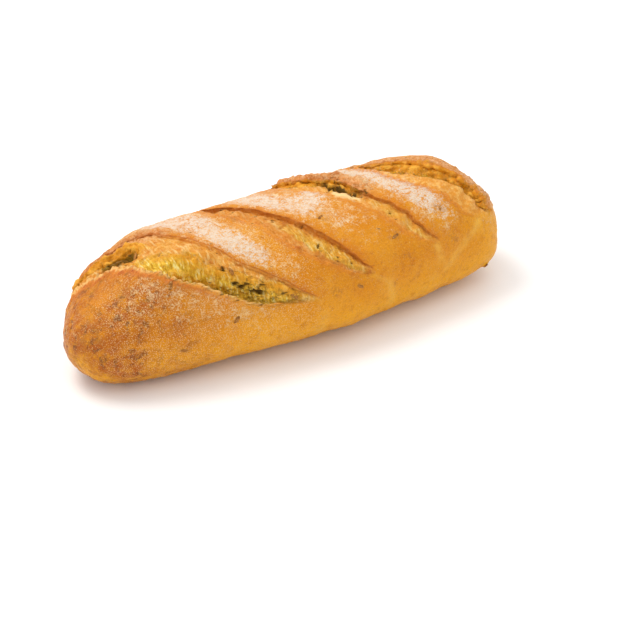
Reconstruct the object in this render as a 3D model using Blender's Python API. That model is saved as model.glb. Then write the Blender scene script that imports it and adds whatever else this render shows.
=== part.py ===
"""A long loaf of corn bread with four slanting slashes across its top, baked as one piece.

The loaf lies along X on its flat underside, with Z up. Its near side faces -Y. A place on its surface has
two coordinates: x along the loaf, and the angle round its section in degrees, which is 0 on the crest, 90
halfway down the near side and -90 halfway down the far side.
"""

import math
from collections import namedtuple

import bmesh
import bpy
import numpy as np
from mathutils import Matrix

MM = 0.001
TINY = 1e-9

# The driving sizes, in metres. The underside is trimmed flat a little above where its curve would end.
LENGTH = 0.276
HEIGHT = 0.072
MIDDLE_HEIGHT = 0.4 * HEIGHT
SIDEWAYS_BOW = 0.0086
UNDERSIDE_TRIM = 0.0016

# How full the ends are, as (left, right): a higher power gives a blunter end. Left is -X and right is +X.
NEAR_POWERS = (2.1, 4.8)
FAR_POWERS = (2.7, 2.1)
CREST_POWERS = (3.3, 6.6)
UNDERSIDE_POWERS = (10.0, 10.0)
SECTION_POWER_TOP = 2.2
SECTION_POWER_UNDERSIDE = 3.0

# Half widths and height of the crest before the ends close, as (share of the half length, mm)
NEAR_HALF_WIDTH_MM = ((-1.0, 51), (-0.7, 48), (-0.45, 47.5), (-0.2, 51), (0.1, 55), (0.4, 52), (0.7, 48.5),
                      (1.0, 65))
FAR_HALF_WIDTH_MM = ((-1.0, 51), (-0.6, 50.5), (-0.2, 48.5), (0.2, 50.5), (0.6, 53), (1.0, 57.5))
CREST_HEIGHT_MM = ((-1.0, 60), (-0.6, 75), (-0.2, 68.5), (0.2, 67), (0.55, 68), (0.8, 72), (1.0, 67))

# The mesh: faces round the loaf, and rings across each slash, each crust between slashes and each end
FACES_ROUND = 64
TOP_HALF_SHARE = 0.68
BAND_STOPS = (0.0, 0.05, 0.1, 0.19, 0.29, 0.4, 0.51, 0.62, 0.72, 0.82, 0.91, 0.96)
CRUST_STOPS = (0.0, 0.06, 0.16, 0.34, 0.54, 0.74, 0.92)
END_RINGS = 8

# How far a raised lip reaches over the crust behind its edge, and the share of its height that is left where
# the crust has rounded over at the edge itself
LIP_REACH = 0.012
EDGE_SHARE, EDGE_ROUNDING = 0.3, 0.0025

# The share of a slash's width that each of its walls takes, and over how many degrees it fades in at its tips
WALL_SHARE = 0.09
TIP_SOFTNESS = 10.0

# Unevenness of the crust, crags of the torn crumb and raggedness of the slashes' edges, as sums of waves
LUMP_HEIGHT, LUMP_WAVELENGTH = 0.0005, 0.036
CRAG_HEIGHT, CRAG_WAVELENGTH = 0.0009, 0.011
RAGGED_WIDTH, RAGGED_DEGREES = 0.0008, 17.0
WAVES = 24

# Across a slash's split opening, the share of its width in which it drops from its lower side, which is steep
SPLIT_DROP = 0.14

# A stretch of a slash, from one angle to another and fading over soft degrees. The low edge is the one
# towards -X and the high edge the one towards +X. Amounts are in mm.
STRETCH_AMOUNTS = "low_lip low_depth swell high_depth high_lip overhang undercut split_depth"
Stretch = namedtuple("Stretch", "start end soft " + STRETCH_AMOUNTS)

# A slash: its far and near tips in degrees, its two edges as (degrees, x in mm), the x in mm at which the two
# edge lines pass the underside, how close the deep parts keep to the low and high walls, where it is split
# open as (degrees, share of its width from, share to), and its stretches
Slash = namedtuple("Slash", "far near low_edge high_edge under deep_powers split stretches")

TORN_END_SLASH = Slash(
    far=-60, near=83,
    low_edge=((-60, -121), (-38, -119), (-19, -112), (-2, -102.5), (18, -95), (41, -81.5), (54, -68),
              (65, -55), (74, -40.5), (83, -8)),
    high_edge=((-60, -117), (-40, -108), (-27, -96), (-16, -82.5), (-6, -72), (14, -56.5), (39, -42.5),
               (57, -25), (72, -13), (83, -4)),
    under=(-92, -80), deep_powers=(2.0, 3.2),
    split=((-60, 0.18, 0.85), (-30, 0.2, 0.72), (-9, 0.2, 0.6), (6, 0.24, 0.5)),
    stretches=(
        Stretch(-20, 83, 25, 1.4, 1.5, 1.5, 2.2, 0.9, 0.6, 0.3, 0.0),
        Stretch(30, 80, 18, 1.0, 8.0, 0.0, 0.5, 0.2, 0.0, 0.0, 0.0),
        Stretch(-60, 4, 14, 0.0, 0.4, 2.2, 1.6, 2.0, 1.4, 0.4, 7.0),
    ),
)
SHALLOW_SLASH = Slash(
    far=-42, near=76,
    low_edge=((-42, -41), (-22, -37), (-10, -31), (0, -24.5), (11, -19), (24, -14), (38, -8), (50, 0.5),
              (60, 11), (70, 21.5), (76, 31)),
    high_edge=((-42, -38), (-30, -32), (-20, -25), (-9, -15), (6, -3.5), (26, 9), (46, 20), (64, 27.5),
               (76, 33)),
    under=(-34, -22), deep_powers=(2.2, 2.2),
    split=((-42, 0, 1), (76, 0, 1)),
    stretches=(
        Stretch(-42, 76, 25, 0.8, 1.0, 0.6, 3.6, 1.4, 0.8, 0.6, 0.0),
    ),
)
LIFTED_SLASH = Slash(
    far=-46, near=73,
    low_edge=((-46, 15), (-32, 16), (-21, 17), (-11, 23), (-1, 32), (10, 39.5), (18, 43.5), (31, 50.5),
              (46, 58), (61, 67.5), (73, 78)),
    high_edge=((-46, 19), (-38, 23), (-30, 29), (-18, 38), (-7, 48.5), (2, 53), (12, 54.5), (23, 60),
               (36, 66.5), (55, 73), (73, 80)),
    under=(24, 36), deep_powers=(2.2, 3.0),
    split=((-46, 0.1, 1), (-18, 0.2, 1), (-6, 0.3, 1), (6, 0.4, 1), (14, 0.6, 1)),
    stretches=(
        Stretch(-8, 73, 20, 0.8, 1.0, 0.6, 3.2, 1.2, 0.6, 0.5, 0.0),
        Stretch(-46, 12, 12, 0.4, 0.0, 1.0, 1.2, 3.8, 2.4, 0.8, 6.0),
    ),
)
CAPPED_END_SLASH = Slash(
    far=-36, near=66,
    low_edge=((-36, 64), (-22, 67), (-9, 71), (5, 76), (25, 88), (34, 94), (43, 97.5), (58, 105.5),
              (66, 112)),
    high_edge=((-36, 67), (-27, 70), (-20, 74), (-14, 85), (-2, 98), (7, 102.5), (15, 109), (34, 116),
               (47, 119.5), (66, 121)),
    under=(84, 96), deep_powers=(2.2, 4.5),
    split=((-36, 0.08, 1), (-8, 0.15, 1), (0, 0.26, 1), (9, 0.36, 1), (20, 0.45, 1), (32, 0.54, 1),
           (43, 0.62, 1), (54, 0.72, 1)),
    stretches=(
        Stretch(-36, 64, 22, 0.8, 1.4, 0.3, 1.0, 0.8, 1.6, 0.6, 8.0),
    ),
)
SLASHES = (TORN_END_SLASH, SHALLOW_SLASH, LIFTED_SLASH, CAPPED_END_SLASH)


def smoothstep(value):
    """0 below 0, 1 above 1 and an S curve between."""
    t = np.clip(value, 0.0, 1.0)
    return t * t * (3.0 - 2.0 * t)


def curve_through(points, at):
    """Reads a smooth curve that passes through (position, value) points and never overshoots them."""
    x, y = (np.array(column, float) for column in zip(*points))
    step = np.diff(x)
    rise = np.diff(y) / step
    before, after = rise[:-1], rise[1:]
    same_way = before * after > 0
    total = np.where(same_way, before + after, 1.0)
    slope = np.zeros(len(x))
    slope[1:-1] = np.where(same_way, 2.0 * before * after / total, 0.0)
    slope[0], slope[-1] = rise[0], rise[-1]
    k = np.clip(np.searchsorted(x, at) - 1, 0, len(step) - 1)
    t = np.clip((at - x[k]) / step[k], 0.0, 1.0)
    bend = slope[k] * (t - 2 * t**2 + t**3) + slope[k + 1] * (t**3 - t**2)
    return y[k] * (1 - smoothstep(t)) + y[k + 1] * smoothstep(t) + step[k] * bend


def waves(places, wavelength, seed):
    """Smooth unevenness of about -1 to 1 at places in any number of dimensions: waves in many directions."""
    draw = np.random.default_rng(seed)
    directions = draw.normal(size=(WAVES, places.shape[-1]))
    directions /= np.linalg.norm(directions, axis=1, keepdims=True)
    turns = places @ directions.T * draw.uniform(0.7, 1.5, WAVES) / wavelength + draw.uniform(0, 1, WAVES)
    return np.sin(2 * math.pi * turns).sum(axis=-1) / math.sqrt(WAVES)


def closing(share, powers):
    """1 along the middle of the loaf, falling to 0 at its ends."""
    power = np.where(share < 0, powers[0], powers[1])
    return np.sqrt(np.clip(1.0 - np.abs(share) ** power, 0.0, None))


def body_point(x, angle):
    """The point of the loaf's plain body at x and this angle, without the slashes."""
    share = np.clip(x / (LENGTH / 2), -1.0, 1.0)
    sine, cosine = np.sin(np.radians(angle)), np.cos(np.radians(angle))
    near = curve_through(NEAR_HALF_WIDTH_MM, share) * closing(share, NEAR_POWERS)
    far = curve_through(FAR_HALF_WIDTH_MM, share) * closing(share, FAR_POWERS)
    across = np.where(sine > 0, near, -far) * MM * np.abs(sine) ** (2 / SECTION_POWER_TOP)
    crest = curve_through(CREST_HEIGHT_MM, share) * MM
    rise = (crest - MIDDLE_HEIGHT) * closing(share, CREST_POWERS)
    drop = (MIDDLE_HEIGHT + UNDERSIDE_TRIM) * closing(share, UNDERSIDE_POWERS)
    up = rise * np.abs(cosine) ** (2 / SECTION_POWER_TOP)
    down = drop * np.abs(cosine) ** (2 / SECTION_POWER_UNDERSIDE)
    y = SIDEWAYS_BOW * (1 - share**2) - across
    return np.stack([x, y, MIDDLE_HEIGHT + np.where(cosine > 0, up, -down)], axis=-1)


def unit(vectors):
    """The vectors at a length of 1."""
    return vectors / (np.linalg.norm(vectors, axis=-1, keepdims=True) + TINY)


def body_directions(x, angle):
    """The directions out of the plain body and along it towards +X, at x and this angle."""
    step_x, step_angle = 0.5 * MM, 0.5
    inner_x = np.clip(x, -LENGTH / 2 + 2 * step_x, LENGTH / 2 - 2 * step_x)
    along = body_point(inner_x + step_x, angle) - body_point(inner_x - step_x, angle)
    round_it = body_point(inner_x, angle + step_angle) - body_point(inner_x, angle - step_angle)
    return unit(np.cross(round_it, along)), unit(along)


def between_tips(slash, angle):
    """1 along a slash, falling to 0 at its two tips."""
    return smoothstep((angle - slash.far) / TIP_SOFTNESS) * smoothstep((slash.near - angle) / TIP_SOFTNESS)


def edge_line(slash, edge, under, angle):
    """The x of an edge line of a slash. Past the slash's tips it swings back and passes the underside."""
    points = ((-180, under), (-130, under), *edge, (130, under), (180, under))
    ragged = waves(angle[..., None] + edge[0][1], RAGGED_DEGREES, seed=3) * RAGGED_WIDTH
    return curve_through(points, angle) * MM + ragged * between_tips(slash, angle)


def ring_lines(angle):
    """The x of the lines that rings follow: the left end, both edges of each slash and the right end."""
    lines = [np.full_like(angle, -LENGTH / 2)]
    for slash in SLASHES:
        lines.append(edge_line(slash, slash.low_edge, slash.under[0], angle))
        lines.append(edge_line(slash, slash.high_edge, slash.under[1], angle))
    lines.append(np.full_like(angle, LENGTH / 2))
    return np.array(lines)


def stretch_sum(slash, field, angle):
    """Adds up one amount of a slash's stretches at this angle, fading out at the slash's tips."""
    total = np.zeros_like(angle)
    for stretch in slash.stretches:
        fade_in = smoothstep((angle - stretch.start) / stretch.soft)
        fade_out = smoothstep((stretch.end - angle) / stretch.soft)
        total += getattr(stretch, field) * fade_in * fade_out
    return total * between_tips(slash, angle) * MM


def behind_edge(distance):
    """The share of a lip's height that the crust has behind a slash's edge, which it rounds over towards."""
    distance = np.clip(distance, 0.0, None)
    rounded = 1 - (1 - EDGE_SHARE) * np.exp(-((distance / EDGE_ROUNDING) ** 2))
    return rounded * np.exp(-((distance / LIP_REACH) ** 2))


def split_drop(slash, v, angle):
    """The share of its depth that a slash's split opening has at the share v across: a drop, then a rise."""
    start = curve_through([(at, low) for at, low, high in slash.split], angle)
    end = curve_through([(at, high) for at, low, high in slash.split], angle)
    across = np.clip((v - start) / np.maximum(end - start, TINY), 0.0, 1.0)
    return smoothstep(across / SPLIT_DROP) * (1 - across)


def slash_relief(slash, x, angle, low, high, crags):
    """How far a slash lifts the surface, and how far it shifts it along the loaf for an overhanging edge."""
    amount = {field: stretch_sum(slash, field, angle) for field in Stretch._fields[3:]}
    v = (x - low) / np.maximum(high - low, TINY)
    inside = (v >= 0) & (v < 1)
    v = np.clip(v, 0.0, 1.0)
    low_wall, high_wall = smoothstep(v / WALL_SHARE), smoothstep((1 - v) / WALL_SHARE)
    floor = amount["swell"] * 4 * v * (1 - v) + crags * between_tips(slash, angle) * np.sin(math.pi * v)
    floor -= amount["low_depth"] * (1 - v) ** slash.deep_powers[0]
    floor -= amount["high_depth"] * v ** slash.deep_powers[1]
    floor -= amount["split_depth"] * split_drop(slash, v, angle)
    lip = np.where(v < 0.5, amount["low_lip"] * (1 - low_wall), amount["high_lip"] * (1 - high_wall))
    band_lift = lip * EDGE_SHARE + floor * low_wall * high_wall
    under_edge = smoothstep((v - 1 + 2.4 * WALL_SHARE) / WALL_SHARE) * high_wall
    band_shift = amount["undercut"] * under_edge - amount["overhang"] * (1 - high_wall)
    crust_lift = amount["low_lip"] * behind_edge(low - x) * (x < low)
    crust_lift += amount["high_lip"] * behind_edge(x - high) * (x >= high)
    crust_shift = -amount["overhang"] * np.exp(-((x - high) / LIP_REACH) ** 2) * (x >= high)
    return np.where(inside, band_lift, crust_lift), np.where(inside, band_shift, crust_shift)


def surface_point(x, angle, lines):
    """The point of the slashed loaf: the plain body, uneven, with the slashes' relief, flat underneath."""
    base = body_point(x, angle)
    outward, along = body_directions(x, angle)
    lift = waves(base, LUMP_WAVELENGTH, seed=1) * LUMP_HEIGHT
    crags = waves(base, CRAG_WAVELENGTH, seed=2) * CRAG_HEIGHT
    shift = np.zeros_like(x)
    for index, slash in enumerate(SLASHES):
        low, high = lines[2 * index + 1], lines[2 * index + 2]
        slash_lift, slash_shift = slash_relief(slash, x, angle, low, high, crags)
        lift += slash_lift
        shift += slash_shift
    point = base + outward * lift[..., None] + along * shift[..., None]
    point[..., 2] = np.maximum(point[..., 2], 0.0)
    return point


def ring_stops():
    """The rings as (interval between lines, share of it). Those of the ends crowd towards the tips."""
    last = 2 * len(SLASHES)
    quarter = math.pi / 2 / END_RINGS
    stops = [(0, 1 - math.cos(quarter * k)) for k in range(END_RINGS)]
    for interval in range(1, last):
        stops += [(interval, share) for share in (BAND_STOPS if interval % 2 else CRUST_STOPS)]
    return stops + [(last, math.sin(quarter * k)) for k in range(END_RINGS + 1)]


def angle_round(turn):
    """The angle of a place round the loaf, -0.5 to 0.5 of a turn. Places lie closer together over the top."""
    top_half = TOP_HALF_SHARE / 2
    top = 90 * turn / top_half
    underneath = np.sign(turn) * (90 + 90 * (np.abs(turn) - top_half) / (0.5 - top_half))
    return np.where(np.abs(turn) <= top_half, top, underneath)


def make_loaf_mesh():
    """A sphere whose rings are laid along the slashes and whose points are then moved onto the loaf."""
    interval, share = (np.array(column) for column in zip(*ring_stops()))
    shape = bmesh.new()
    bmesh.ops.create_uvsphere(shape, u_segments=FACES_ROUND, v_segments=len(interval) - 1, radius=1.0)
    sphere = np.array([vertex.co for vertex in shape.verts])
    from_left = np.arccos(np.clip(-sphere[:, 2], -1, 1)) / math.pi
    ring = np.rint(from_left * (len(interval) - 1)).astype(int)
    turn = np.rint(np.arctan2(sphere[:, 0], sphere[:, 1]) / (2 * math.pi) * FACES_ROUND) / FACES_ROUND
    angle = angle_round(turn)
    lines = ring_lines(angle)
    place = np.arange(len(angle))
    before, after = lines[interval[ring], place], lines[interval[ring] + 1, place]
    x = before * (1 - share[ring]) + after * share[ring]
    for vertex, point in zip(shape.verts, surface_point(x, angle, lines)):
        vertex.co = point
    bmesh.ops.reverse_faces(shape, faces=shape.faces)
    mesh = bpy.data.meshes.new("loaf")
    shape.to_mesh(mesh)
    shape.free()
    return mesh


def make_crust_material():
    """Golden crust."""
    material = bpy.data.materials.new("crust")
    material.use_nodes = True
    shader = material.node_tree.nodes["Principled BSDF"]
    shader.inputs["Base Color"].default_value = (0.66, 0.34, 0.10, 1.0)
    shader.inputs["Roughness"].default_value = 0.75
    shader.inputs["Metallic"].default_value = 0.0
    return material


def main():
    for old in list(bpy.data.objects):
        bpy.data.objects.remove(old, do_unlink=True)
    collection = bpy.data.collections.new("corn_bread")
    bpy.context.scene.collection.children.link(collection)
    loaf = bpy.data.objects.new("loaf", make_loaf_mesh())
    collection.objects.link(loaf)
    corners = np.array(loaf.bound_box)
    middle = (corners.min(axis=0) + corners.max(axis=0)) / 2
    loaf.data.transform(Matrix.Translation((-middle[0], -middle[1], 0.0)))
    loaf.data.materials.append(make_crust_material())
    loaf.data.shade_smooth()


main()
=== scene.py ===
"""The look of the long loaf of corn bread, lying in a plain studio.

A finer mesh with materials for its baked crust and crumb takes the place of the plain solid. Its seeds and
the grains of meal that stick to it are meshes of their own.

A place on the loaf has two coordinates: x along it, and the angle round its section in degrees, which is 0 on
the crest, 90 halfway down the near side and -90 halfway down the far side.
"""

import itertools
import math
from collections import namedtuple

import bmesh
import bpy
import numpy as np
from mathutils import Matrix, Vector


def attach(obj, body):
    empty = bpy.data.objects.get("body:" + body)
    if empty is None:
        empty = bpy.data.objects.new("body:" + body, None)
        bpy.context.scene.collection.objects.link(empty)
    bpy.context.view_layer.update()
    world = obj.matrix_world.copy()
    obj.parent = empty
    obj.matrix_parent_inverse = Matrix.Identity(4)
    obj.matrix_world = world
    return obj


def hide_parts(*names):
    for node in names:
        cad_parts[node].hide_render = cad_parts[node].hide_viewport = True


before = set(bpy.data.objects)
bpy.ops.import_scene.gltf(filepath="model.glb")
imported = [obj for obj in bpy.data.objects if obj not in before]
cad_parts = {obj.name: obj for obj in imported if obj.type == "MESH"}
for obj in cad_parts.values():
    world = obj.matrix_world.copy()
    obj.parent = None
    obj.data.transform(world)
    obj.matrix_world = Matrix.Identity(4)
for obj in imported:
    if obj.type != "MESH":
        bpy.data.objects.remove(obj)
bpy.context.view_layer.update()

MM = 0.001
TINY = 1e-9

# The driving sizes of the loaf, in metres, as in the part's own source
LENGTH = 0.276
HEIGHT = 0.072
MIDDLE_HEIGHT = 0.4 * HEIGHT
SIDEWAYS_BOW = 0.0086
UNDERSIDE_TRIM = 0.0016
NEAR_POWERS = (2.1, 4.8)
FAR_POWERS = (2.7, 2.1)
CREST_POWERS = (3.3, 6.6)
UNDERSIDE_POWERS = (10.0, 10.0)
SECTION_POWER_TOP = 2.2
SECTION_POWER_UNDERSIDE = 3.0
NEAR_HALF_WIDTH_MM = ((-1.0, 51), (-0.7, 48), (-0.45, 47.5), (-0.2, 51), (0.1, 55), (0.4, 52), (0.7, 48.5),
                      (1.0, 65))
FAR_HALF_WIDTH_MM = ((-1.0, 51), (-0.6, 50.5), (-0.2, 48.5), (0.2, 50.5), (0.6, 53), (1.0, 57.5))
CREST_HEIGHT_MM = ((-1.0, 60), (-0.6, 75), (-0.2, 68.5), (0.2, 67), (0.55, 68), (0.8, 72), (1.0, 67))

# The fine mesh: faces round the loaf, and rings across each end, slash and crust between them,
# from left to right
FACES_ROUND = 280
RINGS_ACROSS = (26, 58, 44, 40, 36, 30, 38, 54, 26)
TOP_HALF_SHARE = 0.72
CROWDING = 0.3

LIP_REACH = 0.012
EDGE_SHARE, EDGE_ROUNDING = 0.3, 0.0025
WALL_SHARE = 0.09
TIP_SOFTNESS = 10.0
LUMP_HEIGHT, LUMP_WAVELENGTH = 0.0005, 0.036
CRAG_HEIGHT, CRAG_WAVELENGTH = 0.0009, 0.011
RAGGED_WIDTH, RAGGED_DEGREES = 0.0008, 17.0
TORN_WIDTH, TORN_DEGREES = 0.0006, 5.0
WAVES = 24

SPLIT_DROP = 0.14
STRETCH_AMOUNTS = "low_lip low_depth swell high_depth high_lip overhang undercut split_depth"
Stretch = namedtuple("Stretch", "start end soft " + STRETCH_AMOUNTS)
Slash = namedtuple("Slash", "far near low_edge high_edge under deep_powers split stretches")

TORN_END_SLASH = Slash(
    far=-60, near=83,
    low_edge=((-60, -121), (-38, -119), (-19, -112), (-2, -102.5), (18, -95), (41, -81.5), (54, -68),
              (65, -55), (74, -40.5), (83, -8)),
    high_edge=((-60, -117), (-40, -108), (-27, -96), (-16, -82.5), (-6, -72), (14, -56.5), (39, -42.5),
               (57, -25), (72, -13), (83, -4)),
    under=(-92, -80), deep_powers=(2.0, 3.2),
    split=((-60, 0.18, 0.85), (-30, 0.2, 0.72), (-9, 0.2, 0.6), (6, 0.24, 0.5)),
    stretches=(
        Stretch(-20, 83, 25, 1.4, 1.5, 1.5, 2.2, 0.9, 0.6, 0.3, 0),
        Stretch(30, 80, 18, 1, 8, 0, 0.5, 0.2, 0, 0, 0),
        Stretch(-60, 4, 14, 0, 0.4, 2.2, 1.6, 2, 1.4, 0.4, 7),
    ),
)
SHALLOW_SLASH = Slash(
    far=-42, near=76,
    low_edge=((-42, -41), (-22, -37), (-10, -31), (0, -24.5), (11, -19), (24, -14), (38, -8), (50, 0.5),
              (60, 11), (70, 21.5), (76, 31)),
    high_edge=((-42, -38), (-30, -32), (-20, -25), (-9, -15), (6, -3.5), (26, 9), (46, 20), (64, 27.5),
               (76, 33)),
    under=(-34, -22), deep_powers=(2.2, 2.2),
    split=((-42, 0, 1), (76, 0, 1)),
    stretches=(
        Stretch(-42, 76, 25, 0.8, 1, 0.6, 3.6, 1.4, 0.8, 0.6, 0),
    ),
)
LIFTED_SLASH = Slash(
    far=-46, near=73,
    low_edge=((-46, 15), (-32, 16), (-21, 17), (-11, 23), (-1, 32), (10, 39.5), (18, 43.5), (31, 50.5),
              (46, 58), (61, 67.5), (73, 78)),
    high_edge=((-46, 19), (-38, 23), (-30, 29), (-18, 38), (-7, 48.5), (2, 53), (12, 54.5), (23, 60),
               (36, 66.5), (55, 73), (73, 80)),
    under=(24, 36), deep_powers=(2.2, 3.0),
    split=((-46, 0.1, 1), (-18, 0.2, 1), (-6, 0.3, 1), (6, 0.4, 1), (14, 0.6, 1)),
    stretches=(
        Stretch(-8, 73, 20, 0.8, 1, 0.6, 3.2, 1.2, 0.6, 0.5, 0),
        Stretch(-46, 12, 12, 0.4, 0, 1, 1.2, 3.8, 2.4, 0.8, 6),
    ),
)
CAPPED_END_SLASH = Slash(
    far=-36, near=66,
    low_edge=((-36, 64), (-22, 67), (-9, 71), (5, 76), (25, 88), (34, 94), (43, 97.5), (58, 105.5),
              (66, 112)),
    high_edge=((-36, 67), (-27, 70), (-20, 74), (-14, 85), (-2, 98), (7, 102.5), (15, 109), (34, 116),
               (47, 119.5), (66, 121)),
    under=(84, 96), deep_powers=(2.2, 4.5),
    split=((-36, 0.08, 1), (-8, 0.15, 1), (0, 0.26, 1), (9, 0.36, 1), (20, 0.45, 1), (32, 0.54, 1),
           (43, 0.62, 1), (54, 0.72, 1)),
    stretches=(
        Stretch(-36, 64, 22, 0.8, 1.4, 0.3, 1, 0.8, 1.6, 0.6, 8),
    ),
)
SLASHES = (TORN_END_SLASH, SHALLOW_SLASH, LIFTED_SLASH, CAPPED_END_SLASH)

# Where the torn crumb shows in each slash, as (degrees, share across it from, share to, strength)
TORN_PATCHES = (
    ((-6, 0, 0.04, 0), (8, 0, 0.22, 0.6), (20, 0, 0.44, 1), (35, 0, 0.58, 1), (50, 0, 0.7, 1),
     (65, 0, 0.85, 1), (83, 0, 0.95, 1)),
    ((8, 0.4, 0.6, 0), (24, 0.35, 0.75, 0.45), (45, 0.3, 0.85, 0.6), (62, 0.3, 0.8, 0.55),
     (76, 0.4, 0.6, 0.2)),
    ((12, 0.45, 0.7, 0), (35, 0.35, 0.8, 0.3), (60, 0.3, 0.8, 0.3), (73, 0.4, 0.7, 0)),
    ((-36, 0.9, 1, 0), (66, 0.9, 1, 0)),
)

# How each slash's band looks: its roughness, how brown and how floury it is, how ragged its two edges are,
# how brown its low edge and the crust below that are, and how dark the painted shade in the crease under its
# high edge is, from and to some degrees
Look = namedtuple("Look", "relief brown flour low_torn high_torn lip below crease crease_from crease_to")
LOOKS = (
    Look(1, 0.1, 0.1, 1, 0.1, 1, 1, 1, -25, 83),
    Look(0.8, 0.45, 0.1, 0.4, 0.1, 0.5, 0.2, 1, -42, 76),
    Look(0.5, 0.2, 0.2, 0.2, 0.3, 0.3, 0.1, 0.5, 12, 73),
    Look(0.2, 0.05, 0.45, 0.3, 0.8, 0.4, 0.3, 0, 0, 1),
)

# Spots on the loaf: degrees, x in mm, half sizes along and round the loaf in mm, and depth or height in mm.
# A brown blotch or a patch of flour has its strength in place of the last
Spot = namedtuple("Spot", "angle x along round height")
CAVITIES = [Spot(*row) for row in (
    (55, -50.5, 2.6, 1, 2.6), (58, -46.8, 2.4, 1.2, 3), (64, -41, 2.6, 1.4, 3.4),
    (65, -37.6, 2, 1.3, 2.8), (60, -35, 2, 0.8, 1.4), (70, -25, 3, 0.7, 1.2), (41, -53.5, 1.2, 1.6, 2),
    (-7, -23, 1.6, 0.9, 1.8), (3, -13.5, 1.9, 1, 2.2), (10, -7.1, 1.9, 1.1, 2.2),
    (21, 2.8, 1.4, 0.9, 1.8), (52, 13, 1.2, 1, 1.2), (40, 5, 1, 1.2, 1.2), (60, 20, 1.2, 0.9, 1.2),
    (34, 58, 1.1, 1, 1.2),
)]

# Long hollows where the slashes are torn open, and the pale torn tongue below one of them: a line of
# (degrees, x in mm), its half width in mm, its depth or height in mm, and the strength of the hollow's
# painted shade or of the tongue's paleness
Strip = namedtuple("Strip", "line half_width height strength")
HOLLOWS = (
    Strip(((-15, -104.5), (-9, -100), (-3, -94)), 3.8, 1.8, 0.65),
    Strip(((-8, 39), (-2, 42.6), (4, 46), (9, 49)), 2.8, 3.6, 1.0),
)
TONGUES = (
    Strip(((4, 38.4), (9, 42.2), (14, 46.6)), 1.5, 0.6, 1.0),
)
NUBS = [Spot(*row) for row in (
    (-1, -92, 1.8, 1.8, 1.3), (16, -4.7, 2.2, 1.8, 1.2), (-13, 52, 2.6, 2, 1.2), (17, 51, 1.8, 1.4, 1),
    (38, -7.1, 2, 1.6, 0.8), (71, 28, 2, 1.4, 0.8), (45, -51.2, 1.3, 1.3, 1.6), (118, 118, 1.5, 1.5, 1.2),
    (-30, 38, 1.8, 1.5, 1),
)]
FLECKS = [Spot(*row) for row in (
    (45, -83.9, 2, 1.6, 0.3), (42, -88.3, 2.2, 1.8, 0.3), (45, -100.1, 1.6, 1.2, -0.4),
    (50, -134, 2, 2, -0.3), (91, -86.4, 2.6, 1.6, 0.3), (82, -55.2, 2.2, 1.8, 0.3),
    (53, 52.9, 2.6, 1.6, 0.3), (46, 87.8, 2.4, 2.4, 0.3), (74, -19.5, 2.4, 2.4, 0.4),
    (21, -128.3, 1.4, 3, -0.3), (-9, -118.4, 3, 1.4, -0.2), (64, -128.5, 2.2, 2.2, -0.3),
    (71, 55.7, 1.8, 1.8, 0.3), (80, 21.3, 2, 1.6, 0.3), (79, 4.7, 2, 2.4, 0.3),
    (88, 45.9, 1.4, 1.8, -0.2), (75, 92.1, 2, 2.4, 0.2), (19, 18.2, 3.4, 2.6, 0.3),
    (1, -26.8, 2.6, 2, 0.3), (25, -111.2, 4, 3, -0.2), (67, -81, 1.6, 1.6, 0.2),
)]
BROWN_BLOTCHES = [Spot(*row) for row in (
    (33, -130, 9, 12, 0.5), (49, -102, 9, 9, 0.6), (25, -111, 8, 7, 0.6), (66, -128, 9, 8, 0.5),
    (104, -118, 16, 14, 0.4), (-20, -122, 10, 12, 0.4),
)]
FLOUR_PATCHES = [Spot(*row) for row in (
    (-20, -62, 14, 14, 0.7), (0, -47, 12, 13, 0.9), (22, -40, 12, 11, 1), (40, -31, 9, 9, 0.6),
    (55, -18, 8, 8, 0.25), (-22, -6, 12, 12, 0.7), (-6, 2, 11, 10, 0.8), (-2, 25, 11, 10, 0.8),
    (10, 12, 10, 9, 0.55), (24, 28, 12, 9, 0.4), (-22, 60, 14, 14, 0.8), (-4, 66, 13, 12, 0.9),
    (14, 76, 12, 11, 0.95), (34, 83, 11, 10, 0.9), (52, 90, 9, 9, 0.5), (66, -64, 24, 12, 0.34),
    (40, -92, 18, 16, 0.3), (80, -45, 18, 10, 0.25), (-45, -70, 26, 18, 0.5), (-50, 0, 30, 18, 0.6),
    (-50, 55, 28, 18, 0.6), (10, 122, 10, 20, 0.2), (55, 128, 12, 22, 0.2),
)]

# Seeds baked into the crust: degrees, x in mm, length and width in mm, turn about the outward direction in
# degrees, and how much of them stands out of the crust, in mm
Seed = namedtuple("Seed", "angle x length width turn out")
SEEDS = [Seed(*row) for row in (
    (-17, -23.4, 6.8, 3, 20, 0.9), (43, -87.5, 5, 2.6, 60, 0.2), (45, -100, 4.6, 2.4, 100, 0.2),
    (91, -86, 5.4, 2.4, -10, 0.2), (82, -55, 5, 2.6, 40, 0.25), (53, 53, 5.4, 2.4, 15, 0.2),
    (46, 88, 5, 2.8, 70, 0.15), (74, -19.5, 5, 2.6, 130, 0.2), (19, 18.2, 6, 2.8, 25, 0.15),
    (45, -51.5, 4.6, 2.4, 95, 1.2), (80, 21.3, 4.6, 2.4, -30, 0.3), (-7, 50, 5.6, 2.6, 35, 0.35),
    (-1, -92, 5, 2.8, 10, 1), (118, 118, 4, 2, 80, 0.5), (25, -111.5, 4.8, 2.6, 150, 0.15),
)]
SEED_THICKNESS_MM = 1.5
GRAINS = 2000
GRAIN_RADIUS_MM = (0.10, 0.27)
GRAIN_RISE = 0.25

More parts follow.
